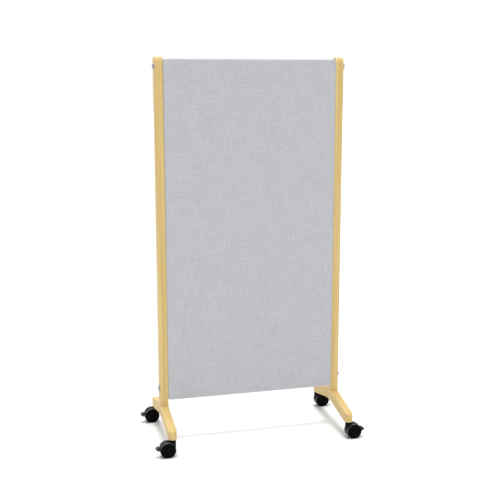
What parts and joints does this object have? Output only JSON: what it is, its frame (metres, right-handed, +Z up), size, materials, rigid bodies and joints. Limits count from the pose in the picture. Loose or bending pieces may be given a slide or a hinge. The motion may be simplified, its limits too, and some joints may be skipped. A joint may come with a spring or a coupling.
{
  "type": "rolling partition",
  "caption": "Free-standing rolling partition: a fabric-covered, soft-edged panel between timber posts whose sloping legs end on braked swivel casters.",
  "frame": {"origin": "on the floor below the middle of the screen", "axes": "+Z up, X along the width of the screen, front face towards -Y"},
  "size_m": [0.908, 0.452, 1.6099],
  "materials": {
    "post_timber": "pale birch with straight grain under a clear satin lacquer",
    "dowel_timber": "plain beech dowel",
    "frame_timber": "planed softwood",
    "core_felt": "dense recycled acoustic felt",
    "wadding": "soft white wadding",
    "cover_fabric": "light grey woven melange",
    "bolt_steel": "bright zinc plated",
    "spacer_plastic": "black moulded plastic",
    "insert_metal": "yellow metal, threaded inside",
    "stem_steel": "zinc plated",
    "housing_plastic": "black moulded nylon with a fine grain",
    "wheel_plastic": "black nylon with a smooth tread",
    "pedal_plastic": "black moulded nylon with a ribbed foot plate"
  },
  "bodies": {
    "frame": {"left_post": "post_timber", "right_post": "post_timber", "left_front_leg": "post_timber", "left_rear_leg": "post_timber", "right_front_leg": "post_timber", "right_rear_leg": "post_timber", "leg_dowels": "dowel_timber", "left_stile": "frame_timber", "right_stile": "frame_timber", "top_rail": "frame_timber", "middle_rail": "frame_timber", "bottom_rail": "frame_timber", "rail_dowels": "dowel_timber", "upper_core": "core_felt", "lower_core": "core_felt", "front_wadding": "wadding", "rear_wadding": "wadding", "front_cover": "cover_fabric", "rear_cover": "cover_fabric", "left_top_bolt": "bolt_steel", "left_bottom_bolt": "bolt_steel", "right_top_bolt": "bolt_steel", "right_bottom_bolt": "bolt_steel", "left_top_spacer": "spacer_plastic", "left_bottom_spacer": "spacer_plastic", "right_top_spacer": "spacer_plastic", "right_bottom_spacer": "spacer_plastic", "panel_inserts": "insert_metal", "front_left_insert": "insert_metal", "front_left_stem": "stem_steel", "rear_left_insert": "insert_metal", "rear_left_stem": "stem_steel", "front_right_insert": "insert_metal", "front_right_stem": "stem_steel", "rear_right_insert": "insert_metal", "rear_right_stem": "stem_steel"},
    "front_left_caster": {"front_left_housing": "housing_plastic", "front_left_axle": "stem_steel"},
    "front_left_near_wheel": {"front_left_near_wheel": "wheel_plastic"},
    "front_left_far_wheel": {"front_left_far_wheel": "wheel_plastic"},
    "front_left_pedal": {"front_left_pedal": "pedal_plastic"},
    "rear_left_caster": {"rear_left_housing": "housing_plastic", "rear_left_axle": "stem_steel"},
    "rear_left_near_wheel": {"rear_left_near_wheel": "wheel_plastic"},
    "rear_left_far_wheel": {"rear_left_far_wheel": "wheel_plastic"},
    "rear_left_pedal": {"rear_left_pedal": "pedal_plastic"},
    "front_right_caster": {"front_right_housing": "housing_plastic", "front_right_axle": "stem_steel"},
    "front_right_near_wheel": {"front_right_near_wheel": "wheel_plastic"},
    "front_right_far_wheel": {"front_right_far_wheel": "wheel_plastic"},
    "front_right_pedal": {"front_right_pedal": "pedal_plastic"},
    "rear_right_caster": {"rear_right_housing": "housing_plastic", "rear_right_axle": "stem_steel"},
    "rear_right_near_wheel": {"rear_right_near_wheel": "wheel_plastic"},
    "rear_right_far_wheel": {"rear_right_far_wheel": "wheel_plastic"},
    "rear_right_pedal": {"rear_right_pedal": "pedal_plastic"}
  },
  "joints": [
    {"name": "front_left_swivel", "type": "hinge", "parent": "frame", "child": "front_left_caster", "pos_m": [-0.383, -0.205, 0.0555], "axis": [0, 0, 1], "continuous": true},
    {"name": "front_left_near_wheel_spin", "type": "hinge", "parent": "front_left_caster", "child": "front_left_near_wheel", "pos_m": [-0.4045, -0.2194, 0.0325], "axis": [0, 1, 0], "continuous": true},
    {"name": "front_left_far_wheel_spin", "type": "hinge", "parent": "front_left_caster", "child": "front_left_far_wheel", "pos_m": [-0.4045, -0.1906, 0.0325], "axis": [0, 1, 0], "continuous": true},
    {"name": "front_left_brake_pedal", "type": "hinge", "parent": "front_left_caster", "child": "front_left_pedal", "pos_m": [-0.4215, -0.205, 0.0395], "axis": [0, -1, 0], "range_deg": [0, 12]},
    {"name": "rear_left_swivel", "type": "hinge", "parent": "frame", "child": "rear_left_caster", "pos_m": [-0.383, 0.205, 0.0555], "axis": [0, 0, 1], "continuous": true},
    {"name": "rear_left_near_wheel_spin", "type": "hinge", "parent": "rear_left_caster", "child": "rear_left_near_wheel", "pos_m": [-0.4045, 0.1906, 0.0325], "axis": [0, 1, 0], "continuous": true},
    {"name": "rear_left_far_wheel_spin", "type": "hinge", "parent": "rear_left_caster", "child": "rear_left_far_wheel", "pos_m": [-0.4045, 0.2194, 0.0325], "axis": [0, 1, 0], "continuous": true},
    {"name": "rear_left_brake_pedal", "type": "hinge", "parent": "rear_left_caster", "child": "rear_left_pedal", "pos_m": [-0.4215, 0.205, 0.0395], "axis": [0, -1, 0], "range_deg": [0, 12]},
    {"name": "front_right_swivel", "type": "hinge", "parent": "frame", "child": "front_right_caster", "pos_m": [0.383, -0.205, 0.0555], "axis": [0, 0, 1], "continuous": true},
    {"name": "front_right_near_wheel_spin", "type": "hinge", "parent": "front_right_caster", "child": "front_right_near_wheel", "pos_m": [0.4045, -0.2194, 0.0325], "axis": [0, 1, 0], "continuous": true},
    {"name": "front_right_far_wheel_spin", "type": "hinge", "parent": "front_right_caster", "child": "front_right_far_wheel", "pos_m": [0.4045, -0.1906, 0.0325], "axis": [0, 1, 0], "continuous": true},
    {"name": "front_right_brake_pedal", "type": "hinge", "parent": "front_right_caster", "child": "front_right_pedal", "pos_m": [0.4215, -0.205, 0.0395], "axis": [0, 1, 0], "range_deg": [0, 12]},
    {"name": "rear_right_swivel", "type": "hinge", "parent": "frame", "child": "rear_right_caster", "pos_m": [0.383, 0.205, 0.0555], "axis": [0, 0, 1], "continuous": true},
    {"name": "rear_right_near_wheel_spin", "type": "hinge", "parent": "rear_right_caster", "child": "rear_right_near_wheel", "pos_m": [0.4045, 0.1906, 0.0325], "axis": [0, 1, 0], "continuous": true},
    {"name": "rear_right_far_wheel_spin", "type": "hinge", "parent": "rear_right_caster", "child": "rear_right_far_wheel", "pos_m": [0.4045, 0.2194, 0.0325], "axis": [0, 1, 0], "continuous": true},
    {"name": "rear_right_brake_pedal", "type": "hinge", "parent": "rear_right_caster", "child": "rear_right_pedal", "pos_m": [0.4215, 0.205, 0.0395], "axis": [0, 1, 0], "range_deg": [0, 12]}
  ]
}
